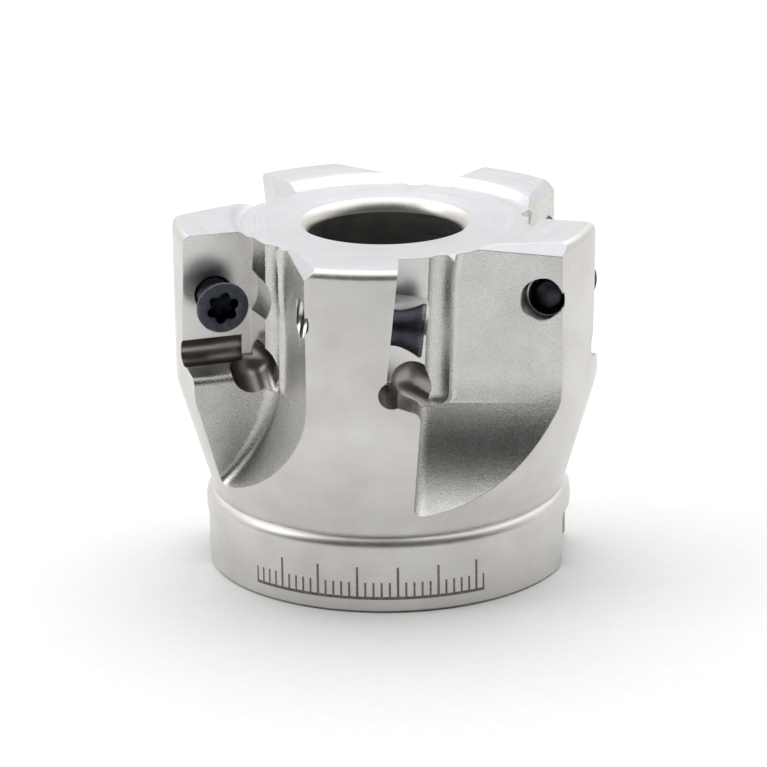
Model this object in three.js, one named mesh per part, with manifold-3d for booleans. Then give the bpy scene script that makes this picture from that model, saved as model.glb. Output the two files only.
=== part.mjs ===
// Indexable shoulder face mill, 50 mm, shell mounted, five pockets.
// Millimetres. +Z is the spindle axis, the rear (arbor) face lies on z = 0.
// Each tooth is worked out in its own frame: the tooth stands at -Y, its seat faces +X,
// -Y is outward, and the frame is then turned about Z to the tooth's place.
import * as THREE from "three";
import { mergeVertices } from "three/addons/utils/BufferGeometryUtils.js";
import Module from "manifold-3d";

const wasm = await Module();
wasm.setup();

// ---- overall sizes
const BODY_DIAMETER = 48.0;        // across the lands, without inserts
const HEIGHT = 40.2;               // rear face to the tops of the teeth
const HUB_DROP = 0.85;             // hub face below the tooth tops
const BASE_DIAMETER = BODY_DIAMETER - 6.3; // rear cylinder
const BASE_HEIGHT = 9.3;           // rear face to the neck
const CONE_TOP = HEIGHT - 18.2;    // where the neck cone meets the lands

// ---- bores and drive slot
const BORE_DIAMETER = 22.0;
const BORE_DEPTH = 20.0;
const WEB_HOLE_DIAMETER = 11.0;
const WEB_THICKNESS = 6.0;
const COUNTERBORE_DIAMETER = BORE_DIAMETER - 4.5;
const MOUTH_CHAMFER = 1.1;
const SLOT_WIDTH = 10.4;
const SLOT_DEPTH = 6.3;
const SLOT_AZIMUTH = -4.5;         // degrees from +X

// ---- teeth: turns from the front tooth, counter-clockwise, unequal on purpose
const TOOTH_TURNS = [0, 75.3, 146.3, 213.8, 288.0];
const AXIAL_RAKE = 6.2;            // degrees, seat leans with height
const RADIAL_LEAN = 1.7;           // degrees, seat leans outward
const SEAT_X = 1.2;                // seat line at the land, at the tooth top
const WALL_DEPTH = 8.05;           // land to the radial wall of the pocket
const WALL_FLARE = 7.2;            // degrees
const SEAT_HEIGHT = 14.8;          // tooth top to the foot of the seat
const LEDGE_SLOPE = 19.8;          // degrees
const BACK_X = -8.8;               // back face at the land
const BACK_LEAN = 12.5;            // degrees from radial
const GULLET_RADIUS = 18.0;        // run-out arc of the gullet floor
const GULLET_ARC_TOP = HEIGHT - 15; // height where the run-out starts
const GULLET_FILLET = 1.6;
const GULLET_WALL_X = 3.55;        // wall under the ledge
const GULLET_LEAN = 4.0;           // degrees
const STEP_X = 6.9;                // where the pocket wall gives way to the gullet
const STEP_LEAN = 0.03;
const STEP_SPREAD_Z = HEIGHT - 3.4; // above this the step leans more
const STEP_ROUND = 1.6;            // foot of the step
const STEP_FILLET = 1.1;
const SCOOP_RADIUS = 1.6;          // ball-nosed run between the wall and the step
const SCOOP_INSET = 1.22;          // its axis, back from the step
const CHAMFER = 1.3;               // top of the back face, at the land

// ---- insert screws
const SCREW_HEIGHT = HEIGHT - 7.2; // screw axis on the seat
const SCREW_INSET = 3.6;           // land to the screw axis
const SHANK_DIAMETER = 3.9;
const HOLE_DIAMETER = SHANK_DIAMETER + 0.5;
const BACK_HOLE_DIAMETER = HOLE_DIAMETER + 0.5;
const BACK_HOLE_DEPTH = 2.6;
const HEAD_DIAMETER = SHANK_DIAMETER + 2;
const HEAD_RIM = 0.45;
const HEAD_CONE = 1.75;
const SCREW_LENGTH = 11.0;
const HEAD_ROOM_RADIUS = HEAD_DIAMETER / 2 + 1.2; // run milled in the wall beside the head
const HEAD_ROOM_DEPTH = 0.55;
const STAND_OUT = [3.5, 4.2, 3.8, 4.0, 4.2]; // head face above the seat, each as left in its pocket
const TORX_DIAMETER = HEAD_DIAMETER * 0.63;
const TORX_DEPTH = 1.7;

// ---- derived
const R = BODY_DIAMETER / 2;
const BASE_R = BASE_DIAMETER / 2;
const HUB_Z = HEIGHT - HUB_DROP;
const WALL_Y = -R + WALL_DEPTH;
const STEP_R = R - 6.6;
const LEDGE_Z = HEIGHT - SEAT_HEIGHT;
const SCREW_Y = -R + SCREW_INSET;
const RAKE = Math.tan(THREE.MathUtils.degToRad(AXIAL_RAKE));
const LEAN = Math.tan(THREE.MathUtils.degToRad(RADIAL_LEAN));
const LEDGE = Math.tan(THREE.MathUtils.degToRad(LEDGE_SLOPE));
const BACK = Math.tan(THREE.MathUtils.degToRad(BACK_LEAN));
const GULLET = Math.tan(THREE.MathUtils.degToRad(GULLET_LEAN));
const STEP_FOOT_Z = LEDGE_Z - 3.2;
const FAR = 40;

function rad(degrees) {
  return THREE.MathUtils.degToRad(degrees);
}

function toManifold(geometry) {
  const plain = new THREE.BufferGeometry();
  plain.setAttribute("position", geometry.getAttribute("position"));
  if (geometry.index) plain.setIndex(geometry.index);
  const merged = mergeVertices(plain, 1e-5);
  const mesh = new wasm.Mesh({
    numProp: 3,
    vertProperties: new Float32Array(merged.getAttribute("position").array),
    triVerts: new Uint32Array(merged.index.array),
  });
  return new wasm.Manifold(mesh);
}

function toGeometry(solid) {
  const mesh = solid.getMesh();
  const geometry = new THREE.BufferGeometry();
  geometry.setAttribute("position", new THREE.BufferAttribute(new Float32Array(mesh.vertProperties), 3));
  geometry.setIndex(new THREE.BufferAttribute(new Uint32Array(mesh.triVerts), 1));
  geometry.computeVertexNormals();
  return geometry;
}

function lathe(profile, segments) {
  const geometry = new THREE.LatheGeometry(profile.map((p) => new THREE.Vector2(p[0], p[1])), segments);
  geometry.rotateX(Math.PI / 2);
  return geometry;
}

// outline of [x, y] points drawn up from z0 to z1
function prism(outline, z0, z1, steps = 1) {
  const shape = new THREE.Shape(outline.map((p) => new THREE.Vector2(p[0], p[1])));
  const geometry = new THREE.ExtrudeGeometry(shape, { depth: z1 - z0, steps, bevelEnabled: false });
  geometry.translate(0, 0, z0);
  return geometry;
}

// outline of [x, z] points drawn along y
function sidePrism(outline, y0, y1) {
  const geometry = prism(outline.map((p) => [p[0], p[1]]), -y1, -y0);
  geometry.rotateX(Math.PI / 2);
  return geometry;
}

function arc(cx, cy, r, from, to, n) {
  const points = [];
  for (let i = 0; i <= n; i += 1) {
    const a = rad(from + ((to - from) * i) / n);
    points.push([cx + r * Math.cos(a), cy + r * Math.sin(a)]);
  }
  return points;
}

// a cylinder whose axis runs from point a towards point b
function rod(a, b, r, segments) {
  const from = new THREE.Vector3(...a);
  const along = new THREE.Vector3(...b).sub(from);
  const geometry = new THREE.CylinderGeometry(r, r, along.length(), segments);
  geometry.translate(0, along.length() / 2, 0);
  const turn = new THREE.Quaternion().setFromUnitVectors(new THREE.Vector3(0, 1, 0), along.normalize());
  geometry.applyQuaternion(turn);
  geometry.translate(from.x, from.y, from.z);
  return geometry;
}

function ball(centre, r, segments) {
  const geometry = new THREE.SphereGeometry(r, segments, segments / 2);
  geometry.rotateX(Math.PI / 2);
  geometry.translate(...centre);
  return toManifold(geometry);
}

// ---- turned blank with its bores
function blankProfile() {
  const bore = BORE_DIAMETER / 2;
  const counter = COUNTERBORE_DIAMETER / 2;
  const web = WEB_HOLE_DIAMETER / 2;
  const neck = BASE_R - 0.55;
  const start = [
    [bore + 0.6, 0], [BASE_R - 0.6, 0], [BASE_R, 0.6], [BASE_R, BASE_HEIGHT - 3.9],
    [BASE_R + 0.05, BASE_HEIGHT - 2.6],
  ];
  const shoulder = arc(BASE_R - 1.3, BASE_HEIGHT - 1.8, 1.36, 5, 62, 4);
  const cone = [
    [neck - 0.05, BASE_HEIGHT - 0.15], [neck + 0.02, BASE_HEIGHT + 0.35],
    [R - 0.14, CONE_TOP - 0.5], [R, CONE_TOP + 0.6],
  ];
  const crown = arc(R - 1, HEIGHT - 1, 1, 0, 90, 5);
  const step = [
    [STEP_R + 0.15, HEIGHT], [STEP_R, HEIGHT - 0.1], [STEP_R - 0.25, HUB_Z + 0.32],
    [STEP_R - 0.7, HUB_Z + 0.08], [STEP_R - 1.2, HUB_Z],
  ];
  const inside = [
    [counter + MOUTH_CHAMFER, HUB_Z], [counter + MOUTH_CHAMFER * 0.45, HUB_Z - 0.35],
    [counter, HUB_Z - 1.35], [counter, BORE_DEPTH + WEB_THICKNESS], [web, BORE_DEPTH + WEB_THICKNESS],
    [web, BORE_DEPTH], [bore, BORE_DEPTH], [bore, 0.6], [bore + 0.6, 0],
  ];
  return [...start, ...shoulder, ...cone, ...crown, ...step, ...inside];
}

function driveSlot() {
  const box = new THREE.BoxGeometry(BODY_DIAMETER + 4, SLOT_WIDTH, SLOT_DEPTH + 2);
  box.translate(0, 0, SLOT_DEPTH / 2 - 1);
  box.rotateZ(rad(SLOT_AZIMUTH));
  return toManifold(box);
}

// ---- cuts of one tooth, in the tooth's own frame
function seatX(y, z) {
  return SEAT_X + RAKE * (z - HEIGHT + 0.56) + LEAN * (y + R);
}

function turned(point, degrees) {
  const a = rad(degrees);
  return [
    point[0] * Math.cos(a) - point[1] * Math.sin(a),
    point[0] * Math.sin(a) + point[1] * Math.cos(a),
  ];
}

// the back face of the next tooth, seen from this tooth's frame, as y = f(x)
function floorLine(pitch) {
  const outer = turned([BACK_X, -R * 0.93], pitch);
  const inner = turned([BACK_X - BACK * 11, -R * 0.93 + 11], pitch);
  const slope = (inner[1] - outer[1]) / (inner[0] - outer[0]);
  return (x) => outer[1] + slope * (x - outer[0]);
}

// the floor swings outward below the start of its run-out arc
function runOut(z) {
  const below = Math.max(0, GULLET_ARC_TOP - z);
  return GULLET_RADIUS - Math.sqrt(Math.max(0, GULLET_RADIUS ** 2 - Math.min(below, 17.5) ** 2));
}

function swept(outline, z0, z1, steps, shift) {
  const geometry = prism(outline, z0, z1, steps);
  const p = geometry.getAttribute("position");
  for (let i = 0; i < p.count; i += 1) {
    const z = p.getZ(i);
    p.setX(i, p.getX(i) + shift(z));
    p.setY(i, p.getY(i) - runOut(z));
  }
  return toManifold(geometry);
}

function lowerGullet(floor) {
  const wall = GULLET_WALL_X + GULLET * 2;
  const r = GULLET_FILLET;
  const corner = arc(wall + r, floor(wall + r) - r, r, 180, 96, 6);
  const outline = [[wall, -FAR], ...corner, [FAR, floor(FAR)], [FAR, -FAR]];
  return swept(outline, 7.9, STEP_FOOT_Z, 10, (z) => GULLET * (z - LEDGE_Z));
}

// the step leans with height and rounds in under itself at its foot
function stepShift(z) {
  const below = Math.min(Math.max(0, STEP_FOOT_Z + 1.5 - z), 1.5);
  const spread = 0.13 * Math.max(0, z - STEP_SPREAD_Z);
  return STEP_LEAN * (z - LEDGE_Z) + spread - STEP_ROUND + Math.sqrt(STEP_ROUND ** 2 - below ** 2);
}

function upperGullet(floor) {
  const r = STEP_FILLET;
  const corner = arc(STEP_X + r, floor(STEP_X + r) - r, r, 180, 94, 4);
  const outline = [[STEP_X, -FAR], ...corner, [FAR, floor(FAR)], [FAR, -FAR]];
  const foot = STEP_FOOT_Z - 0.02;
  const low = swept(outline, foot, foot + 1.52, 4, stepShift);
  return low
    .add(swept(outline, foot + 1.52, STEP_SPREAD_Z, 3, stepShift))
    .add(swept(outline, STEP_SPREAD_Z, HEIGHT + 4, 1, stepShift));
}

// run of a ball-nosed cutter down the corner between the radial wall and the step
function cornerScoop() {
  const at = (z) => {
    const up = z - LEDGE_Z;
    return [STEP_X - SCOOP_INSET + 0.041 * up, WALL_Y + 0.2 - 0.019 * up, z];
  };
  const foot = at(LEDGE_Z - 2.1);
  return toManifold(rod(foot, at(HEIGHT + 4), SCOOP_RADIUS, 20)).add(ball(foot, SCOOP_RADIUS, 16));
}

// edge break along the top of the back face, widening outward: a block lying on the sloping plane
function backChamfer(floor) {
  const at = (x, size, side) => new THREE.Vector3(x, floor(x) + (side ? size : 0), HEIGHT - (side ? 0 : size));
  const inner = at(STEP_X + 2, 0.35, false);
  const outer = at(R * 0.8, CHAMFER, false);
  const along = outer.clone().sub(inner).normalize();
  const across = at(R * 0.8, CHAMFER, true).sub(inner);
  const normal = along.clone().cross(across).normalize();
  if (normal.z < 0) normal.negate();
  const block = new THREE.BoxGeometry(2 * R, 10, 8);
  block.translate(0, 0, 4);
  const side = normal.clone().cross(along);
  const place = new THREE.Matrix4().makeBasis(along, side, normal).setPosition(outer);
  block.applyMatrix4(place);
  const space = new THREE.BoxGeometry(2 * R, 4 * R, HEIGHT);
  space.translate(STEP_X + R, -R, HEIGHT);
  return toManifold(block).intersect(toManifold(space));
}

function pocketWall() {
  const wall = new THREE.BoxGeometry(2 * FAR, FAR, 2 * FAR);
  wall.translate(0, -FAR / 2, HEIGHT);
  wall.rotateZ(rad(WALL_FLARE));
  wall.translate(SEAT_X, WALL_Y, 0);
  return toManifold(wall);
}

function pocketSpace() {
  const foot = (SEAT_X + RAKE * (LEDGE_Z - 0.05 - HEIGHT + 0.56)) / (1 + RAKE * LEDGE);
  const ledge = (x) => LEDGE_Z - 0.05 - LEDGE * x;
  const top = HEIGHT + 3;
  const side = sidePrism(
    [[foot, ledge(foot)], [STEP_X + 1.5, ledge(STEP_X + 1.5)], [STEP_X + 1.5, top], [seatX(-R, top), top]],
    -FAR - R, 0,
  );
  side.translate(0, R, 0);
  side.rotateZ(-rad(RADIAL_LEAN));
  side.translate(0, -R, 0);
  return toManifold(side);
}

function insertPocket() {
  return pocketSpace().intersect(pocketWall());
}

function underLedge() {
  const wall = GULLET_WALL_X;
  const z = LEDGE_Z;
  const side = sidePrism(
    [[wall - GULLET * 2.4, z - 4.2], [wall, z - 2.1], [wall - 0.18, z - 1.5], [wall - 0.75, z - 1.0],
      [wall - 0.9, z + 0.5], [STEP_X + 1.5, z + 0.5], [STEP_X + 1.5, z - 4.2]],
    -FAR, 0,
  );
  return toManifold(side).intersect(pocketWall());
}

function footGroove() {
  const z = LEDGE_Z + 0.95;
  return toManifold(rod([0.5, -FAR, z], [0.5, WALL_Y - 1.2, z], 1.5, 20));
}

function cornerRelief() {
  const r = 2.55;
  const centre = [GULLET_WALL_X, WALL_Y - 0.9, LEDGE_Z - 0.5];
  const along = [0.85, 0, -0.53];
  const from = centre.map((c, i) => c - along[i] * 0.9);
  const to = centre.map((c, i) => c + along[i] * 2.4);
  return toManifold(rod(from, to, r, 24)).add(ball(from, r, 16));
}

// the line every hole and screw of a tooth follows, out of the seat
function screwAxis() {
  const out = new THREE.Vector3(1, -LEAN, -RAKE).normalize();
  const foot = new THREE.Vector3(seatX(SCREW_Y, SCREW_HEIGHT), SCREW_Y, SCREW_HEIGHT);
  return { out, foot, at: (h) => foot.clone().addScaledVector(out, h).toArray() };
}

function screwHoles() {
  const axis = screwAxis();
  const through = toManifold(rod(axis.at(-FAR / 2), axis.at(4), HOLE_DIAMETER / 2, 24));
  const backX = BACK_X - BACK * (SCREW_Y + R * 0.93);
  const thickness = axis.foot.x - backX;
  const back = rod(axis.at(-FAR / 2), axis.at(BACK_HOLE_DEPTH - thickness), BACK_HOLE_DIAMETER / 2, 24);
  return through.add(toManifold(back));
}

// room for the screw head: a shallow run in the radial wall, nearly parallel to it
function headClearance() {
  const x = 4.8;
  const wall = WALL_Y + (x - SEAT_X) * Math.tan(rad(WALL_FLARE));
  const centre = [x, wall + HEAD_ROOM_DEPTH - HEAD_ROOM_RADIUS, SCREW_HEIGHT - RAKE * (x - 0.6) + 0.15];
  const along = [1, 0.08, -RAKE];
  const from = centre.map((c, i) => c - along[i] * 6);
  const to = centre.map((c, i) => c + along[i] * 3.4);
  return toManifold(rod(from, to, HEAD_ROOM_RADIUS, 30)).intersect(pocketSpace());
}

function toothCuts(pitch) {
  const floor = floorLine(pitch);
  return lowerGullet(floor)
    .add(upperGullet(floor))
    .add(cornerScoop())
    .add(backChamfer(floor))
    .add(insertPocket())
    .add(underLedge())
    .add(footGroove())
    .add(cornerRelief())
    .add(headClearance())
    .add(screwHoles());
}

function pitchAfter(i) {
  const next = TOOTH_TURNS[(i + 1) % TOOTH_TURNS.length];
  return (next - TOOTH_TURNS[i] + 360) % 360;
}

function cutterBody() {
  let body = toManifold(lathe(blankProfile(), 80)).subtract(driveSlot());
  TOOTH_TURNS.forEach((turn, i) => {
    body = body.subtract(toothCuts(pitchAfter(i)).rotate([0, 0, turn]));
  });
  return toGeometry(body);
}

// ---- one insert screw, made head up on +Z with its head face at z = 0
function screwBlank() {
  const head = HEAD_DIAMETER / 2;
  const shank = SHANK_DIAMETER / 2;
  const tip = -SCREW_LENGTH;
  return lathe([
    [0, tip], [shank - 0.45, tip], [shank, tip + 0.5], [shank, -HEAD_RIM - HEAD_CONE - 0.9],
    [shank + 0.08, -HEAD_RIM - HEAD_CONE], [shank + 0.42, -HEAD_RIM - HEAD_CONE * 0.55],
    [head, -HEAD_RIM], [head, -0.12], [head - 0.12, 0], [0, 0],
  ], 24);
}

function torxOutline() {
  const points = [];
  for (let i = 0; i < 24; i += 1) {
    const r = TORX_DIAMETER * (0.437 + 0.063 * Math.cos(rad(i * 90)));
    points.push([r * Math.cos(rad(i * 15)), r * Math.sin(rad(i * 15))]);
  }
  return points;
}

function insertScrew(turn, standOut) {
  const recess = toManifold(prism(torxOutline(), -TORX_DEPTH, 1));
  const screw = toGeometry(toManifold(screwBlank()).subtract(recess));
  const axis = screwAxis();
  screw.applyQuaternion(new THREE.Quaternion().setFromUnitVectors(new THREE.Vector3(0, 0, 1), axis.out));
  screw.translate(...axis.at(standOut));
  screw.rotateZ(rad(turn));
  return screw;
}

function steel(name, colour, roughness) {
  return new THREE.MeshStandardMaterial({ name, color: colour, metalness: 1, roughness });
}

function named(name, geometry, material) {
  const mesh = new THREE.Mesh(geometry, material);
  mesh.name = name;
  return mesh;
}

const mill = new THREE.Group();
mill.name = "face_mill";
mill.add(named("cutter_body", cutterBody(), steel("nickel_plated_steel", 0xc9c7c3, 0.38)));
TOOTH_TURNS.forEach((turn, i) => {
  mill.add(named(`insert_screw_${i + 1}`, insertScrew(turn, STAND_OUT[i]), steel("black_oxide_steel", 0x30343f, 0.35)));
});

export default mill;
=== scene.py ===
import math
import bmesh
import bpy
from mathutils import Matrix, Vector


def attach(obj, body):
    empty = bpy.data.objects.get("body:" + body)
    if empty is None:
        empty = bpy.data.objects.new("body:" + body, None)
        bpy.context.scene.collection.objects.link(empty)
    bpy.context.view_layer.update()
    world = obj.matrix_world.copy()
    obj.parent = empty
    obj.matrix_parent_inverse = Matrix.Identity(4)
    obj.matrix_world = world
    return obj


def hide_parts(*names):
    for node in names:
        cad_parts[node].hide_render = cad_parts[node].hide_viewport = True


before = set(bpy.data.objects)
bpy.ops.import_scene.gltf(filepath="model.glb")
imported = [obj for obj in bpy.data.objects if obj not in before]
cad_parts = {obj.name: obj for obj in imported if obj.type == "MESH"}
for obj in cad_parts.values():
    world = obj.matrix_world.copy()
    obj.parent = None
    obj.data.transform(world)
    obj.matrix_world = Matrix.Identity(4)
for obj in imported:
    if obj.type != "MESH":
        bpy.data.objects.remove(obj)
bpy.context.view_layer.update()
scene = bpy.context.scene

# ---------------------------------------------------------------------------
# Cutter body, finishes. One piece of hardened alloy steel, nickel plated after
# machining: turned, faced and milled, bead blasted in the gullets, dull and darkened
# by painted shade in the bore, and darkened by painted shade in the corners under the insert.
# ---------------------------------------------------------------------------


def finish(name, metal, roughness):
    """A plated steel to which a finish adds its own marks."""
    made = bpy.data.materials.new(name)
    made.use_nodes = True
    tree = made.node_tree
    shader = tree.nodes["Principled BSDF"]
    shader.inputs["Base Color"].default_value = (*metal, 1)
    shader.inputs["Metallic"].default_value = 1.0
    shader.inputs["Roughness"].default_value = roughness
    place = tree.nodes.new("ShaderNodeTexCoord").outputs["Object"]
    return made, tree, shader, place


def stretched(tree, place, x, y, z):
    """The place on the metal, drawn out or packed along each axis."""
    node = tree.nodes.new("ShaderNodeMapping")
    node.inputs["Scale"].default_value = (x, y, z)
    tree.links.new(place, node.inputs["Vector"])
    return node.outputs["Vector"]


def grain(tree, place, size, detail=4.0, rough=0.55):
    """Random grain with a feature size in metres."""
    node = tree.nodes.new("ShaderNodeTexNoise")
    node.inputs["Scale"].default_value = 1.0 / size
    node.inputs["Detail"].default_value = detail
    node.inputs["Roughness"].default_value = rough
    tree.links.new(place, node.inputs["Vector"])
    return node.outputs["Fac"]


def between(tree, value, low, high, to_low, to_high):
    """Stretch a value from one range to another, held at the ends."""
    node = tree.nodes.new("ShaderNodeMapRange")
    node.inputs["From Min"].default_value = low
    node.inputs["From Max"].default_value = high
    node.inputs["To Min"].default_value = to_low
    node.inputs["To Max"].default_value = to_high
    tree.links.new(value, node.inputs["Value"])
    return node.outputs["Result"]


def tinted(tree, value, *stops):
    """Colours along a value, as (place, colour) stops."""
    node = tree.nodes.new("ShaderNodeValToRGB")
    ramp = node.color_ramp.elements
    while len(ramp) < len(stops):
        ramp.new(0.5)
    for mark, (at, colour) in zip(ramp, stops):
        mark.position = at
        mark.color = (*colour, 1)
    tree.links.new(value, node.inputs["Fac"])
    return node.outputs["Color"]


def relief(tree, height, depth, strength=1.0, under=None):
    """Tool marks or pits raised by a height value; depth in metres."""
    node = tree.nodes.new("ShaderNodeBump")
    node.inputs["Distance"].default_value = depth
    node.inputs["Strength"].default_value = strength
    tree.links.new(height, node.inputs["Height"])
    if under is not None:
        tree.links.new(under, node.inputs["Normal"])
    return node.outputs["Normal"]


def eased(tree, radius):
    """Corners broken by hand: the shine runs smoothly over each edge."""
    node = tree.nodes.new("ShaderNodeBevel")
    node.samples = 6
    node.inputs["Radius"].default_value = radius
    return node.outputs["Normal"]


def reckon(tree, sum_name, *terms):
    """A sum on values or plain numbers."""
    node = tree.nodes.new("ShaderNodeMath")
    node.operation = sum_name
    for socket, term in zip(node.inputs, terms):
        if isinstance(term, (int, float)):
            socket.default_value = term
        else:
            tree.links.new(term, socket)
    return node.outputs["Value"]


def scale_mark(tree, place):
    """A plain graduated scale, laser marked on the base: a line with short and long ticks."""
    split = tree.nodes.new("ShaderNodeSeparateXYZ")
    tree.links.new(place, split.inputs[0])
    height = split.outputs["Z"]
    angle = reckon(tree, "ARCTAN2", split.outputs["Y"], split.outputs["X"])

    def below(value, limit):
        return reckon(tree, "LESS_THAN", value, limit)

    def ticks(step, width, top):
        """Marks at even steps around the base, in degrees, up to a height in metres."""
        from_mark = reckon(tree, "PINGPONG", reckon(tree, "DIVIDE", angle, math.radians(step)), 0.5)
        return reckon(tree, "MULTIPLY", below(from_mark, width), below(height, top))

    lines = reckon(tree, "MAXIMUM", ticks(2.5, 0.13, 0.0036), ticks(12.5, 0.03, 0.0054))
    lines = reckon(tree, "MAXIMUM", below(height, 0.00195), lines)
    from_middle = reckon(tree, "ABSOLUTE", reckon(tree, "SUBTRACT", angle, math.radians(-97.5)))
    marked = reckon(tree, "MULTIPLY", lines, below(from_middle, math.radians(37.8)))
    return reckon(tree, "MULTIPLY", marked, reckon(tree, "GREATER_THAN", height, 0.0016))


def turned_steel():
    """Turned skin of the base, neck and lands: faint rings under a fine satin grain."""
    made, tree, shader, place = finish("turned_steel", (0.66, 0.65, 0.63), 0.36)
    rings = grain(tree, stretched(tree, place, 30, 30, 1000), 0.18, 5.0, 0.6)
    cloud = grain(tree, place, 0.006, 3.0)
    specks = grain(tree, place, 0.00035, 5.0, 0.7)
    blend = reckon(tree, "MULTIPLY_ADD", cloud, 0.55, reckon(tree, "MULTIPLY", rings, 0.15))
    blend = reckon(tree, "MULTIPLY_ADD", specks, 0.30, blend)
    dark, plain, light = (0.56, 0.545, 0.52), (0.655, 0.64, 0.615), (0.74, 0.73, 0.71)
    tone = tinted(tree, blend, (0.30, dark), (0.52, plain), (0.8, light))
    marked = tree.nodes.new("ShaderNodeMix")
    marked.data_type = "RGBA"
    worn = between(tree, specks, 0.3, 0.6, 0.95, 0.75)
    tree.links.new(reckon(tree, "MULTIPLY", scale_mark(tree, place), worn), marked.inputs["Factor"])
    tree.links.new(tone, marked.inputs["A"])
    marked.inputs["B"].default_value = (0.055, 0.042, 0.034, 1)
    tree.links.new(marked.outputs["Result"], shader.inputs["Base Color"])
    tree.links.new(between(tree, specks, 0.3, 0.7, 0.32, 0.46), shader.inputs["Roughness"])
    skin = relief(tree, rings, 0.000008, 0.3, eased(tree, 0.00014))
    tree.links.new(relief(tree, specks, 0.000012, 0.55, skin), shader.inputs["Normal"])
    return made


def faced_steel():
    """Faced hub and tooth tops: rings about the axis, bright and a little blue."""
    made, tree, shader, place = finish("faced_steel", (0.74, 0.75, 0.78), 0.30)
    split = tree.nodes.new("ShaderNodeSeparateXYZ")
    tree.links.new(place, split.inputs[0])
    across = reckon(tree, "MULTIPLY", split.outputs["X"], split.outputs["X"])
    reach = reckon(tree, "SQRT", reckon(tree, "MULTIPLY_ADD", split.outputs["Y"], split.outputs["Y"], across))
    swirl = tree.nodes.new("ShaderNodeCombineXYZ")
    tree.links.new(reach, swirl.inputs["X"])
    tree.links.new(reckon(tree, "MULTIPLY", split.outputs["X"], 0.02), swirl.inputs["Y"])
    tree.links.new(reckon(tree, "MULTIPLY", split.outputs["Y"], 0.02), swirl.inputs["Z"])
    rings = grain(tree, swirl.outputs[0], 0.00022, 4.0, 0.6)
    cloud = grain(tree, place, 0.004, 3.0)
    blend = reckon(tree, "MULTIPLY_ADD", cloud, 0.35, reckon(tree, "MULTIPLY", rings, 0.65))
    dark, plain, light = (0.57, 0.58, 0.60), (0.62, 0.63, 0.655), (0.68, 0.69, 0.715)
    tone = tinted(tree, blend, (0.32, dark), (0.55, plain), (0.8, light))
    tree.links.new(tone, shader.inputs["Base Color"])
    tree.links.new(between(tree, rings, 0.3, 0.7, 0.27, 0.40), shader.inputs["Roughness"])
    tree.links.new(relief(tree, rings, 0.000008, 0.4, eased(tree, 0.00014)), shader.inputs["Normal"])
    return made


def milled_steel(name, metal):
    """Seat, wall and ledge of a pocket: faint feed lines from the end mill."""
    made, tree, shader, place = finish(name, metal, 0.33)
    lines = grain(tree, stretched(tree, place, 60, 60, 1000), 0.22, 3.0, 0.5)
    cloud = grain(tree, place, 0.0035, 4.0)
    specks = grain(tree, place, 0.0003, 4.0, 0.65)
    blend = reckon(tree, "MULTIPLY_ADD", cloud, 0.85, reckon(tree, "MULTIPLY", lines, 0.15))
    light, dark = [c * 1.08 for c in metal], [c * 0.85 for c in metal]
    tone = tinted(tree, blend, (0.30, dark), (0.52, metal), (0.8, light))
    tree.links.new(tone, shader.inputs["Base Color"])
    tree.links.new(between(tree, cloud, 0.3, 0.7, 0.24, 0.36), shader.inputs["Roughness"])
    skin = relief(tree, lines, 0.000008, 0.3, eased(tree, 0.00012))
    tree.links.new(relief(tree, specks, 0.000008, 0.4, skin), shader.inputs["Normal"])
    return made


def blasted_steel():
    """Gullets and tooth backs: bead blasted, a fine sparkling grain."""
    made, tree, shader, place = finish("blasted_steel", (0.64, 0.63, 0.61), 0.42)
    pits = grain(tree, place, 0.00020, 6.0, 0.75)
    cloud = grain(tree, place, 0.005, 3.0)
    sweep = grain(tree, stretched(tree, place, 1, 1, 0.35), 0.0022, 3.0)
    blend = reckon(tree, "MULTIPLY_ADD", cloud, 0.5, reckon(tree, "MULTIPLY", pits, 0.5))
    dark, plain, light = (0.53, 0.52, 0.50), (0.64, 0.63, 0.61), (0.74, 0.735, 0.72)
    tone = tinted(tree, blend, (0.30, dark), (0.52, plain), (0.78, light))
    tree.links.new(tone, shader.inputs["Base Color"])
    tree.links.new(between(tree, pits, 0.3, 0.7, 0.20, 0.36), shader.inputs["Roughness"])
    skin = relief(tree, sweep, 0.00003, 0.2, eased(tree, 0.00014))
    tree.links.new(relief(tree, pits, 0.00005, 0.8, skin), shader.inputs["Normal"])
    return made


def bore_shade_steel():
    """Bores and tapped holes: plated thin and dull, the colour darkened as painted shade."""
    # The low base colour is painted shade for the inside of the bore and holes.
    made, tree, shader, place = finish("bore_shade_steel", (0.20, 0.195, 0.185), 0.45)
    rings = grain(tree, stretched(tree, place, 40, 40, 1000), 0.2, 4.0, 0.6)
    cloud = grain(tree, place, 0.004, 3.0)
    blend = reckon(tree, "MULTIPLY_ADD", cloud, 0.5, reckon(tree, "MULTIPLY", rings, 0.5))
    dark, plain, light = (0.13, 0.125, 0.12), (0.20, 0.195, 0.185), (0.29, 0.28, 0.27)
    tone = tinted(tree, blend, (0.3, dark), (0.55, plain), (0.8, light))
    tree.links.new(tone, shader.inputs["Base Color"])
    tree.links.new(between(tree, rings, 0.3, 0.7, 0.38, 0.52), shader.inputs["Roughness"])
    tree.links.new(relief(tree, rings, 0.000015, 0.6, eased(tree, 0.0001)), shader.inputs["Normal"])
    return made


turned = turned_steel()
faced = faced_steel()
milled = milled_steel("milled_steel", (0.68, 0.67, 0.655))
# A darker copy of the milled finish for the foot groove and corner relief under the ledge: painted shade in
# those recesses.
corner_shade = milled_steel("corner_shade_steel", (0.33, 0.31, 0.285))
blasted = blasted_steel()
bore_shaded = bore_shade_steel()

# ---------------------------------------------------------------------------
# Cutter body, turned blank. Worked in millimetres about the spindle axis, rear
# face down: base cylinder with a rounded shoulder, neck cone, lands, and the
# arbor bore, web hole and front counterbore.
# ---------------------------------------------------------------------------
body_radius = 24.0
body_height = 40.2
hub_height = body_height - 0.85
base_radius = body_radius - 3.15
cone_top = body_height - 18.2
step_radius = body_radius - 6.6
bore_radius = 11.0
web_radius = 5.5
mouth_radius = 8.75


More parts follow.
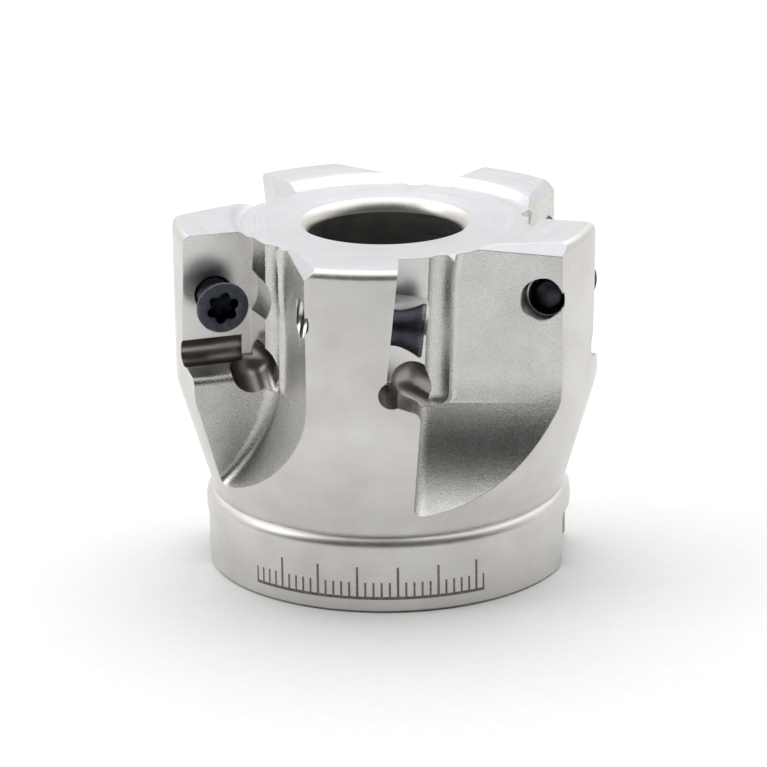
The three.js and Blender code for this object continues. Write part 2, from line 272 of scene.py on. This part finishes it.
def bend(cx, cy, radius, start, end, steps):
    """Points along an arc, angles in degrees."""
    turns = [math.radians(start + (end - start) * i / steps) for i in range(steps + 1)]
    return [(cx + radius * math.cos(a), cy + radius * math.sin(a)) for a in turns]


def spun(name, profile, sides, metal, closed=False, metals=None):
    """A turned solid from (radius, height) points. A radius may be a function of the angle."""
    shape = bmesh.new()
    angles = [math.tau * i / sides for i in range(sides)]
    rows = []
    for radius, height in profile:
        if callable(radius):
            ring = [(radius(a) * math.cos(a), radius(a) * math.sin(a), height) for a in angles]
            rows.append([shape.verts.new(point) for point in ring])
        elif radius < 1e-6:
            rows.append([shape.verts.new((0, 0, height))])
        else:
            rows.append([shape.verts.new((radius * math.cos(a), radius * math.sin(a), height)) for a in angles])
    after = rows[1:] + rows[:1] if closed else rows[1:]
    for k, (row, following) in enumerate(zip(rows, after)):
        for i in range(sides):
            j = (i + 1) % sides
            corners = [row[i % len(row)], row[j % len(row)]]
            corners += [following[j % len(following)], following[i % len(following)]]
            corners = [c for n, c in enumerate(corners) if c not in corners[:n]]
            face = shape.faces.new(corners)
            face.smooth = True
            face.material_index = metals[k] if metals else 0
    bmesh.ops.recalc_face_normals(shape, faces=shape.faces)
    mesh = bpy.data.meshes.new(name)
    shape.to_mesh(mesh)
    shape.free()
    for one in metal if isinstance(metal, list) else [metal]:
        mesh.materials.append(one)
    return bpy.data.objects.new(name, mesh)


shoulder = bend(base_radius - 1.3, 7.5, 1.36, 3, 66, 12)
crown = bend(body_radius - 1.0, body_height - 1.0, 1.0, 0, 90, 12)
outside = (
    [(bore_radius + 0.6, 0.0), (base_radius - 0.55, 0.0), (base_radius - 0.2, 0.12), (base_radius - 0.05, 0.3)]
    + [(base_radius, 0.6), (base_radius, 5.4), (base_radius + 0.05, 6.7)]
    + shoulder
    + [(base_radius - 0.6, 9.15), (base_radius - 0.53, 9.65), (base_radius - 0.3, 10.4)]
    + [(body_radius - 0.14, cone_top - 0.5), (body_radius - 0.03, cone_top + 0.2)]
    + [(body_radius, cone_top + 0.9)]
)
top = [
    (step_radius + 0.50, body_height), (step_radius + 0.25, body_height - 0.05),
    (step_radius, body_height - 0.17), (step_radius - 0.22, body_height - 0.33),
    (step_radius - 0.45, body_height - 0.52), (step_radius - 0.75, hub_height + 0.14),
    (step_radius - 1.1, hub_height + 0.04), (step_radius - 1.5, hub_height),
]
mouth = [
    (mouth_radius + 1.12, hub_height), (mouth_radius + 0.98, hub_height - 0.03),
    (mouth_radius + 0.84, hub_height - 0.11), (mouth_radius + 0.5, hub_height - 0.36),
    (mouth_radius + 0.2, hub_height - 0.78), (mouth_radius + 0.05, hub_height - 1.15),
    (mouth_radius, hub_height - 1.4),
]
inside = [
    (mouth_radius, 26.25), (mouth_radius - 0.25, 26.0), (web_radius + 0.3, 26.0), (web_radius, 25.7),
    (web_radius, 20.3), (web_radius + 0.3, 20.0), (bore_radius - 0.3, 20.0), (bore_radius, 19.7),
    (bore_radius, 0.6),
]
profile = outside + crown + top + mouth + inside
metals = [0] * (len(outside) + len(crown) - 3) + [1] * (len(top) + 4) + [0] * (len(mouth) - 2)
metals[0] = 1
metals += [2] * (len(profile) - len(metals))
blank = spun("cutter_body_visual", profile, 288, [turned, faced, bore_shaded], True, metals)

# ---------------------------------------------------------------------------
# Cutter body, drive slot across the rear face. Milled straight through with an
# end mill, for the two keys of the arbor, with a small relief in the corners.
# ---------------------------------------------------------------------------
slot_half = 5.2
slot_depth = 6.3


def drawn(name, outline, levels, metal, shift=None):
    """A solid from an outline of (x, y) points, carried up through the levels."""
    shape = bmesh.new()
    rows = []
    for z in levels:
        dx, dy = shift(z) if shift else (0.0, 0.0)
        rows.append([shape.verts.new((x + dx, y + dy, z)) for x, y in outline])
    count = len(outline)
    for row, following in zip(rows, rows[1:]):
        for i in range(count):
            j = (i + 1) % count
            shape.faces.new([row[i], row[j], following[j], following[i]])
    shape.faces.new(rows[0][::-1])
    shape.faces.new(rows[-1])
    bmesh.ops.recalc_face_normals(shape, faces=shape.faces)
    mesh = bpy.data.meshes.new(name)
    shape.to_mesh(mesh)
    shape.free()
    mesh.materials.append(metal)
    return bpy.data.objects.new(name, mesh)


def side_drawn(name, outline, y0, y1, metal):
    """A solid from an outline of (x, z) points, carried along y."""
    made = drawn(name, [(x, -z) for x, z in outline], [y0, y1], metal)
    made.data.transform(Matrix.Rotation(-math.pi / 2, 4, "X"))
    return made


def turn_over(made, angle, about=(0, 0, 0)):
    """Turn a solid about a line parallel to the spindle axis."""
    centre = Matrix.Translation(about)
    made.data.transform(centre @ Matrix.Rotation(angle, 4, "Z") @ centre.inverted())
    return made


slot_outline = (
    [(-slot_half - 0.35, -1.0), (-slot_half - 0.35, 0.0), (-slot_half, 0.35)]
    + [(-slot_half + 0.6 + x, z) for x, z in bend(0, slot_depth - 0.6, 0.6, 180, 90, 6)]
    + [(slot_half - 0.6 + x, z) for x, z in bend(0, slot_depth - 0.6, 0.6, 90, 0, 6)]
    + [(slot_half, 0.35), (slot_half + 0.35, 0.0), (slot_half + 0.35, -1.0)]
)
drive_slot = side_drawn("drive_slot", slot_outline, -30, 30, milled)
turn_over(drive_slot, math.radians(90 - 4.5))
tools = [drive_slot]

# ---------------------------------------------------------------------------
# Cutter body, five teeth at unequal spacing. Each is worked out standing at -Y
# with its seat facing +X: gullet, insert pocket, corner reliefs, edge break on
# the tooth behind, and the tapped screw hole; then turned to its place.
# ---------------------------------------------------------------------------
tooth_turns = [0.0, 75.3, 146.3, 213.8, 288.0]
rake = math.tan(math.radians(6.2))
seat_lean = math.radians(1.7)
lean = math.tan(seat_lean)
ledge_slope = math.tan(math.radians(19.8))
back_slope = math.tan(math.radians(12.5))
gullet_lean = math.tan(math.radians(4.0))
seat_line = 1.2
seat_drop = 0.56
back_line = -8.8
back_reach = body_radius * 0.93
wall_line = -body_radius + 8.05
wall_flare = math.radians(7.2)
wall_turn = 4.8
ledge_height = body_height - 14.8
step_line = 6.9
step_lean = 0.03
step_spread = body_height - 3.4
step_foot = ledge_height - 3.2
gullet_wall = 3.55
gullet_radius = 18.0
gullet_top = body_height - 15.0
gullet_fillet = 1.6
step_fillet = 1.1
step_round = 1.6
scoop_radius = 1.6
screw_height = body_height - 7.2
screw_line = -body_radius + 3.6
far = 40.0


def seat(y, z):
    """Where the seat plane stands at a height and depth."""
    return seat_line + rake * (z - body_height + seat_drop) + lean * (y + body_radius)


def gullet_floor(pitch):
    """The back of the next tooth, as a line in this tooth's frame."""
    a = math.radians(pitch)

    def across(x, y):
        return x * math.cos(a) - y * math.sin(a), x * math.sin(a) + y * math.cos(a)

    outer = across(back_line, -back_reach)
    inner = across(back_line - back_slope * 11, -back_reach + 11)
    slope = (inner[1] - outer[1]) / (inner[0] - outer[0])
    return lambda x: outer[1] + slope * (x - outer[0])


def run_out(z):
    """How far the gullet floor swings outward below its straight part."""
    below = min(max(0.0, gullet_top - z), 17.5)
    return gullet_radius - math.sqrt(gullet_radius**2 - below**2)


def rod(name, start, end, radius, sides, metal, thread=None):
    """A round cutter from one point to another; a thread is (depth, pitch)."""
    start, end = Vector(start), Vector(end)
    length = (end - start).length
    profile = [(0.0, 0.0), (radius, 0.0), (radius, length), (0.0, length)]
    if thread:
        depth, pitch = thread
        steps = int(length / pitch * 8)

        def crest(z):
            return lambda a: radius - depth * abs(2 * ((z / pitch - a / math.tau) % 1.0) - 1)

        middle = [(crest(length * k / steps), length * k / steps) for k in range(steps + 1)]
        profile = [(0.0, 0.0)] + middle + [(0.0, length)]
    made = spun(name, profile, sides, metal)
    along = Vector((0, 0, 1)).rotation_difference((end - start).normalized())
    made.data.transform(Matrix.Translation(start) @ along.to_matrix().to_4x4())
    return made


def kept_side(made, point, facing):
    """Cut a solid by a plane and keep the side that the plane faces away from."""
    shape = bmesh.new()
    shape.from_mesh(made.data)
    everything = list(shape.verts) + list(shape.edges) + list(shape.faces)
    cut = bmesh.ops.bisect_plane(shape, geom=everything, plane_co=point, plane_no=facing, clear_outer=True)
    rim = [e for e in cut["geom_cut"] if isinstance(e, bmesh.types.BMEdge)]
    bmesh.ops.contextual_create(shape, geom=rim)
    bmesh.ops.recalc_face_normals(shape, faces=shape.faces)
    shape.to_mesh(made.data)
    shape.free()
    return made


def inside_wall(made):
    """Keep only what lies outward of the pocket's radial wall."""
    slope = (-math.sin(wall_flare), math.cos(wall_flare), 0)
    made = kept_side(made, (seat_line, wall_line, 0), slope)
    shoulder_y = wall_line + (wall_turn - seat_line) * math.tan(wall_flare)
    return kept_side(made, (wall_turn, shoulder_y, 0), (-math.sin(0.02), math.cos(0.02), 0))


def step_shift(z):
    """The step leans with height, and rounds in under itself at its foot."""
    below = min(max(0.0, step_foot + 1.5 - z), 1.5)
    spread = 0.13 * max(0.0, z - step_spread)
    return step_lean * (z - ledge_height) + spread - step_round + math.sqrt(step_round**2 - below**2)


def lower_gullet(floor):
    wall = gullet_wall + gullet_lean * 2
    r = gullet_fillet
    corner = bend(wall + r, floor(wall + r) - r, r, 180, 96, 12)
    outline = [(wall, -far)] + corner + [(far, floor(far)), (far, -far)]
    levels = [7.9 + (step_foot - 7.9) * k / 36 for k in range(37)]
    fall = floor(1.0) - floor(0.0)

    def shift(z):
        aside = gullet_lean * (z - ledge_height)
        return aside, fall * aside - run_out(z)

    return drawn("lower_gullet", outline, levels, blasted, shift)


def upper_gullet(floor):
    r = step_fillet
    corner = bend(step_line + r, floor(step_line + r) - r, r, 180, 94, 10)
    outline = [(step_line, -far)] + corner + [(far, floor(far)), (far, -far)]
    foot = step_foot - 0.004
    levels = [foot + (gullet_top - foot) * k / 10 for k in range(11)] + [step_spread, body_height + 4]
    fall = floor(1.0) - floor(0.0)

    def shift(z):
        return step_shift(z), fall * step_shift(z) - run_out(z)

    return drawn("upper_gullet", outline, levels, blasted, shift)


def ball_nosed(name, start, end, radius, steps, sides, metal):
    """A run of a ball-nosed cutter, its round nose before the start."""
    length = (end - start).length
    nose = bend(0, 0, radius, -90, 0, steps)[1:-1]
    profile = [(0.0, -radius)] + nose + [(radius, 0.0), (radius, length), (0.0, length)]
    made = spun(name, profile, sides, metal)
    tilt = Vector((0, 0, 1)).rotation_difference((end - start).normalized())
    made.data.transform(Matrix.Translation(start) @ tilt.to_matrix().to_4x4())
    return made


def corner_scoop():
    """A ball-nosed run down the corner between the radial wall and the step."""

    def at(z):
        up = z - ledge_height
        return Vector((step_line - 1.22 + 0.041 * up, wall_line + 0.2 - 0.019 * up, z))

    start, end = at(ledge_height - 2.1), at(body_height + 4)
    return ball_nosed("corner_scoop", start, end, scoop_radius, 10, 64, blasted)


def edge_break(floor):
    """The sloping edge break along the top of the next tooth's back."""

    def at(x, size, up):
        return Vector((x, floor(x) + (size if up else 0), body_height - (0 if up else size)))

    inner, outer = at(step_line + 2, 0.35, False), at(body_radius * 0.8, 1.3, False)
    along = (outer - inner).normalized()
    facing = along.cross(at(body_radius * 0.8, 1.3, True) - inner).normalized()
    if facing.z < 0:
        facing.negate()
    side = facing.cross(along)
    made = drawn("edge_break", [(-48, -5), (48, -5), (48, 5), (-48, 5)], [0, 8], faced)
    place = Matrix((along, side, facing)).transposed().to_4x4()
    made.data.transform(Matrix.Translation(outer) @ place)
    return kept_side(made, (step_line, 0, 0), (-1, 0, 0))


def insert_pocket():
    foot_height = ledge_height - 0.05
    foot = (seat_line + rake * (foot_height - body_height + seat_drop)) / (1 + rake * ledge_slope)

    def ledge(x):
        return foot_height - ledge_slope * x

    up = body_height + 3
    edge = step_line + 1.5
    outline = [(foot, ledge(foot)), (edge, ledge(edge)), (edge, up), (seat(-body_radius, up), up)]
    made = side_drawn("insert_pocket", outline, -far - body_radius, body_radius, milled)
    turn_over(made, -seat_lean, (0, -body_radius, 0))
    return inside_wall(made)


def under_ledge():
    wall, z = gullet_wall, ledge_height
    rounded = [(wall - 0.02, z - 1.85), (wall - 0.10, z - 1.6), (wall - 0.24, z - 1.38), (wall - 0.42, z - 1.2)]
    below = wall + gullet_lean * 2
    outline = [(below - gullet_lean * 4.2, z - 4.2), (below - gullet_lean * 2.1, z - 2.1)] + rounded
    outline += [(wall - 0.66, z - 1.05), (wall - 0.95, z - 0.95), (wall - 0.95, z + 0.5)]
    outline += [(step_line + 1.5, z + 0.5), (step_line + 1.5, z - 4.2)]
    return inside_wall(side_drawn("under_ledge", outline, -far, 0, blasted))


def foot_groove():
    z = ledge_height + 0.95
    return rod("foot_groove", (0.5, -far, z), (0.5, wall_line - 1.2, z), 1.5, 48, corner_shade)


def corner_relief():
    radius = 2.55
    centre = Vector((gullet_wall, wall_line - 0.9, ledge_height - 0.5))
    along = Vector((0.85, 0, -0.53))
    start, end = centre - along * 0.9, centre + along * 2.4
    return ball_nosed("corner_relief", start, end, radius, 12, 80, corner_shade)


screw_out = Vector((1, -lean, -rake)).normalized()
screw_foot = Vector((seat(screw_line, screw_height), screw_line, screw_height))
hole_radius = 2.2
back_hole_radius = 2.45
tooth_thickness = screw_foot.x - (back_line - back_slope * (screw_line + back_reach))


def screw_holes():
    through = rod(
        "tapped_hole", screw_foot - screw_out * 20, screw_foot + screw_out * 4, hole_radius, 48, bore_shaded
    )
    mouth_at = screw_foot - screw_out * (tooth_thickness - 2.6)
    back = rod("back_hole", mouth_at - screw_out * 16.1, mouth_at, back_hole_radius, 48, milled, (0.18, 0.7))
    return [through, back]


def head_room():
    """A shallow run in the radial wall, for the screw's head."""
    radius, depth, x = 4.15, 0.55, wall_turn
    wall = wall_line + (x - seat_line) * math.tan(wall_flare)
    centre = Vector((x, wall + depth - radius, screw_height - rake * (x - 0.6) + 0.15))
    along = Vector((1, 0.08, -rake))
    made = rod("head_room", centre - along * 6, centre + along * 3.4, radius, 120, milled)
    on_seat = Vector((seat(-body_radius, screw_height), -body_radius, screw_height))
    return kept_side(made, on_seat, (-math.cos(seat_lean), math.sin(seat_lean), rake))


for count, turn in enumerate(tooth_turns):
    pitch = (tooth_turns[(count + 1) % 5] - turn) % 360
    floor = gullet_floor(pitch)
    cuts = [lower_gullet(floor), upper_gullet(floor), corner_scoop(), edge_break(floor)]
    cuts += [insert_pocket(), under_ledge(), foot_groove(), corner_relief(), head_room()] + screw_holes()
    tools += [turn_over(cut, math.radians(turn)) for cut in cuts]

# ---------------------------------------------------------------------------
# Cutter body, cut and finished. The tools are taken out of the blank, the small
# crumbs of cutting are cleared, and every true edge is kept crisp.
# ---------------------------------------------------------------------------
bench = bpy.data.collections.new("tools")
scene.collection.children.link(bench)
for tool in tools:
    bench.objects.link(tool)
scene.collection.objects.link(blank)
cutting = blank.modifiers.new("cutting", "BOOLEAN")
cutting.operation = "DIFFERENCE"
cutting.operand_type = "COLLECTION"
cutting.collection = bench
cutting.solver = "MANIFOLD"
cutting.material_mode = "TRANSFER"
bpy.context.view_layer.update()
cut_mesh = bpy.data.meshes.new_from_object(blank.evaluated_get(bpy.context.evaluated_depsgraph_get()))
blank.modifiers.clear()
blank.data = cut_mesh
for tool in tools:
    bpy.data.objects.remove(tool)
bpy.data.collections.remove(bench)

shape = bmesh.new()
shape.from_mesh(cut_mesh)
bmesh.ops.remove_doubles(shape, verts=shape.verts, dist=0.01)
bmesh.ops.dissolve_degenerate(shape, edges=shape.edges, dist=0.005)
for face in shape.faces:
    face.smooth = True
for edge in shape.edges:
    if edge.is_manifold:
        edge.smooth = edge.calc_face_angle(0.0) < math.radians(28)
shape.to_mesh(cut_mesh)
shape.free()
cut_mesh.transform(Matrix.Scale(0.001, 4))
cutter_body = blank
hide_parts("cutter_body")
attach(cutter_body, "cutter")

# ---------------------------------------------------------------------------
# Insert screws. Five M4 screws with a flared head and a six-lobed recess, cold
# headed, thread rolled and blackened. They hold the inserts, which are out, so
# each one stands part way out of its pocket.
# ---------------------------------------------------------------------------
screw_turns = tooth_turns
stand_out = [3.5, 4.2, 3.8, 4.0, 4.2]
screw_clocking = [12.0, 40.0, 25.0, 5.0, 20.0]
head_radius = 2.95
shank_radius = 1.95
thread_pitch = 0.7
thread_depth = 0.40
screw_length = 11.0


def blackened_steel():
    """Black oxide over steel, worn to bare metal on the rim of the head, and darkened to near black inside the
    recess as painted shade.
    """
    made, tree, shader, place = finish("blackened_steel", (0.028, 0.030, 0.038), 0.34)
    cloud = grain(tree, place, 0.0011, 4.0)
    specks = grain(tree, place, 0.00016, 4.0, 0.7)
    split = tree.nodes.new("ShaderNodeSeparateXYZ")
    tree.links.new(place, split.inputs[0])
    across = reckon(tree, "MULTIPLY", split.outputs["X"], split.outputs["X"])
    reach = reckon(tree, "SQRT", reckon(tree, "MULTIPLY_ADD", split.outputs["Y"], split.outputs["Y"], across))
    rim = between(tree, reach, 0.00262, 0.00292, 0.0, 0.30)
    worn = reckon(tree, "MULTIPLY", rim, between(tree, specks, 0.42, 0.68, 0.0, 1.0))
    # Painted shade: the walls inside the lobed recess are pushed to near black.
    recess_shade = reckon(
        tree, "MULTIPLY", between(tree, reach, 0.00196, 0.00199, 1.0, 0.0),
        between(tree, split.outputs["Z"], -0.00012, -0.00003, 1.0, 0.0),
    )
    recess_shade = reckon(tree, "MULTIPLY", recess_shade, between(tree, split.outputs["Z"], -0.0022, -0.00212, 0.0, 1.0))
    # The worn rim and the painted shade of the recess share one value from here on.
    worn = reckon(tree, "MULTIPLY_ADD", recess_shade, -0.4, worn)
    tone = tinted(tree, reckon(tree, "MULTIPLY_ADD", cloud, 0.25, worn),
                  (0.0, (0.007, 0.008, 0.011)), (0.06, (0.036, 0.039, 0.049)), (0.18, (0.066, 0.071, 0.088)),
                  (0.55, (0.32, 0.32, 0.33)))
    tree.links.new(tone, shader.inputs["Base Color"])
    tree.links.new(between(tree, specks, 0.3, 0.7, 0.27, 0.44), shader.inputs["Roughness"])
    tree.links.new(relief(tree, specks, 0.000008, 0.6), shader.inputs["Normal"])
    shader.inputs["Specular IOR Level"].default_value = 0.5
    return made


def six_lobes(size):
    """The recess outline: six round lobes, six inward curves."""
    return lambda a: size * (0.874 + 0.126 * math.cos(6 * a) - 0.014 * math.cos(12 * a))


def screw_thread(depth, z):
    """Radius around the shank at a height: a rolled thread with a rounded root."""

    def radius(a):
        phase = (z / thread_pitch - a / math.tau) % 1.0
        ridge = abs(2 * phase - 1)
        return shank_radius - depth * min(1.0, max(0.0, 1.25 * ridge - 0.12))

    return radius


def screw_profile():
    """From the tip, up the thread and under-head cone, over the rim and into the recess."""
    tip = -screw_length
    rows = [(0.0, tip - 0.02), (shank_radius - 0.62, tip), (shank_radius - 0.5, tip + 0.06)]
    thread_top = -3.6
    steps = int((thread_top - tip - 0.2) / thread_pitch * 8)
    for k in range(steps + 1):
        z = tip + 0.2 + (thread_top - tip - 0.2) * k / steps
        from_tip = min(1.0, (z - tip) / 0.9)
        from_top = min(1.0, (thread_top - z) / 0.6)
        cut = thread_depth * from_top
        shrink = 0.42 * (1 - from_tip)
        thread = screw_thread(cut, z)
        rows.append((lambda a, t=thread, s=shrink: min(t(a), shank_radius - s), z))
    rows += [(shank_radius, -3.5), (shank_radius, -3.0)]
    rows += [(shank_radius + 0.02, -2.75), (shank_radius + 0.09, -2.4)]
    rows += [(shank_radius + 0.21, -2.0), (shank_radius + 0.36, -1.6), (shank_radius + 0.53, -1.2)]
    rows += [(shank_radius + 0.73, -0.82), (head_radius - 0.09, -0.5), (head_radius - 0.02, -0.42)]
    rows += [(head_radius, -0.36), (head_radius, -0.16)]
    rows += [(head_radius - 0.03, -0.07), (head_radius - 0.09, -0.015)]
    rows += [(head_radius - 0.17, 0.0), (2.2, 0.0), (six_lobes(1.95), 0.0), (six_lobes(1.885), -0.03)]
    rows += [(six_lobes(1.855), -0.09), (six_lobes(1.84), -0.9)]
    rows += [(six_lobes(1.82), -1.55), (six_lobes(1.72), -1.66)]
    rows += [(six_lobes(1.45), -1.72), (0.9, -1.84), (0.0, -2.0)]
    return rows


blackened = blackened_steel()
for count, turn in enumerate(screw_turns):
    screw = spun(f"insert_screw_{count + 1}_visual", screw_profile(), 72, blackened)
    scene.collection.objects.link(screw)
    for face in screw.data.polygons:
        face.use_smooth = True
    shape = bmesh.new()
    shape.from_mesh(screw.data)
    for edge in shape.edges:
        edge.smooth = edge.calc_face_angle(0.0) < math.radians(38)
    shape.to_mesh(screw.data)
    shape.free()
    screw.data.transform(Matrix.Rotation(math.radians(screw_clocking[count]), 4, "Z"))
    screw.data.transform(Matrix.Scale(0.001, 4))
    upright = Matrix((Vector((0, 0, 1)).cross(screw_out).normalized(), Vector((0, 0, 0)), screw_out))
    upright[1] = screw_out.cross(upright[0])
    head_at = (screw_foot + screw_out * stand_out[count]) * 0.001
    seated = Matrix.Translation(head_at) @ upright.transposed().to_4x4()
    screw.matrix_world = Matrix.Rotation(math.radians(turn), 4, "Z") @ seated
    bpy.context.view_layer.update()
    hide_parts(f"insert_screw_{count + 1}")
    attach(screw, f"screw_{count + 1}")

# ---------------------------------------------------------------------------
# Floor under the cutter: a plain pale sheet of matt card.
# ---------------------------------------------------------------------------
sheet = bmesh.new()
bmesh.ops.create_grid(sheet, x_segments=8, y_segments=8, size=2.5)
floor_mesh = bpy.data.meshes.new("floor")
sheet.to_mesh(floor_mesh)
sheet.free()
floor_sheet = bpy.data.objects.new("floor", floor_mesh)
scene.collection.objects.link(floor_sheet)
card, tree, shader, place = finish("floor_card", (0.86, 0.86, 0.86), 0.7)
shader.inputs["Metallic"].default_value = 0.0
fibre = grain(tree, place, 0.002, 4.0)
tone = tinted(tree, fibre, (0.3, (0.86, 0.86, 0.86)), (0.7, (0.88, 0.88, 0.88)))
tree.links.new(tone, shader.inputs["Base Color"])
tree.links.new(relief(tree, fibre, 0.00002, 0.2), shader.inputs["Normal"])
floor_mesh.materials.append(card)

# ---------------------------------------------------------------------------
# Studio: a bright backdrop behind and above, falling off to a dim room on the
# camera's side, with one large soft light overhead and a weak one on the left.
# ---------------------------------------------------------------------------
room = bpy.data.worlds.new("studio")
scene.world = room
room.use_nodes = True
direction = room.node_tree.nodes.new("ShaderNodeTexCoord").outputs["Generated"]
split = room.node_tree.nodes.new("ShaderNodeSeparateXYZ")
room.node_tree.links.new(direction, split.inputs[0])
glow = reckon(room.node_tree, "MULTIPLY_ADD", split.outputs["Y"], 1.45, 0.52)
glow = reckon(room.node_tree, "MULTIPLY_ADD", split.outputs["Z"], 0.35, glow)
glow = reckon(room.node_tree, "MULTIPLY_ADD", split.outputs["X"], 0.10, glow)
glow = between(room.node_tree, glow, 0.0, 1.0, 0.06, 1.0)
room.node_tree.links.new(glow, room.node_tree.nodes["Background"].inputs["Strength"])
room.node_tree.nodes["Background"].inputs["Color"].default_value = (1.0, 0.995, 0.985, 1)


def soft_light(name, at, toward, size, power):
    lamp = bpy.data.lights.new(name, "AREA")
    lamp.shape = "RECTANGLE"
    lamp.size, lamp.size_y = size
    lamp.energy = power
    holder = bpy.data.objects.new(name, lamp)
    holder.location = at
    holder.rotation_euler = (Vector(toward) - Vector(at)).to_track_quat("-Z", "Y").to_euler()
    scene.collection.objects.link(holder)


soft_light("overhead_light", (0.0, 0.45, 0.9), (0, 0.45, 0), (2.2, 1.8), 12.5)
soft_light("side_light", (-0.7, -0.1, 0.5), (0, 0, 0.02), (0.3, 0.4), 1)

# ---------------------------------------------------------------------------
# Camera: a long lens on a bench stand, aimed down a little at the cutter.
# ---------------------------------------------------------------------------
lens = bpy.data.cameras.new("camera")
lens.sensor_width = 36.0
lens.lens = 179.7
lens.clip_start = 0.01
camera = bpy.data.objects.new("camera", lens)
level = Matrix.Rotation(math.pi / 2 - 0.3136, 4, "X") @ Matrix.Rotation(-0.0132, 4, "Z")
stand = Matrix.Translation((-0.00013, -0.41647, 0.15509))
camera.matrix_world = stand @ Matrix.Rotation(0.0007, 4, "Z") @ level
scene.collection.objects.link(camera)
scene.camera = camera
scene.view_settings.view_transform = "Standard"

bpy.context.view_layer.update()
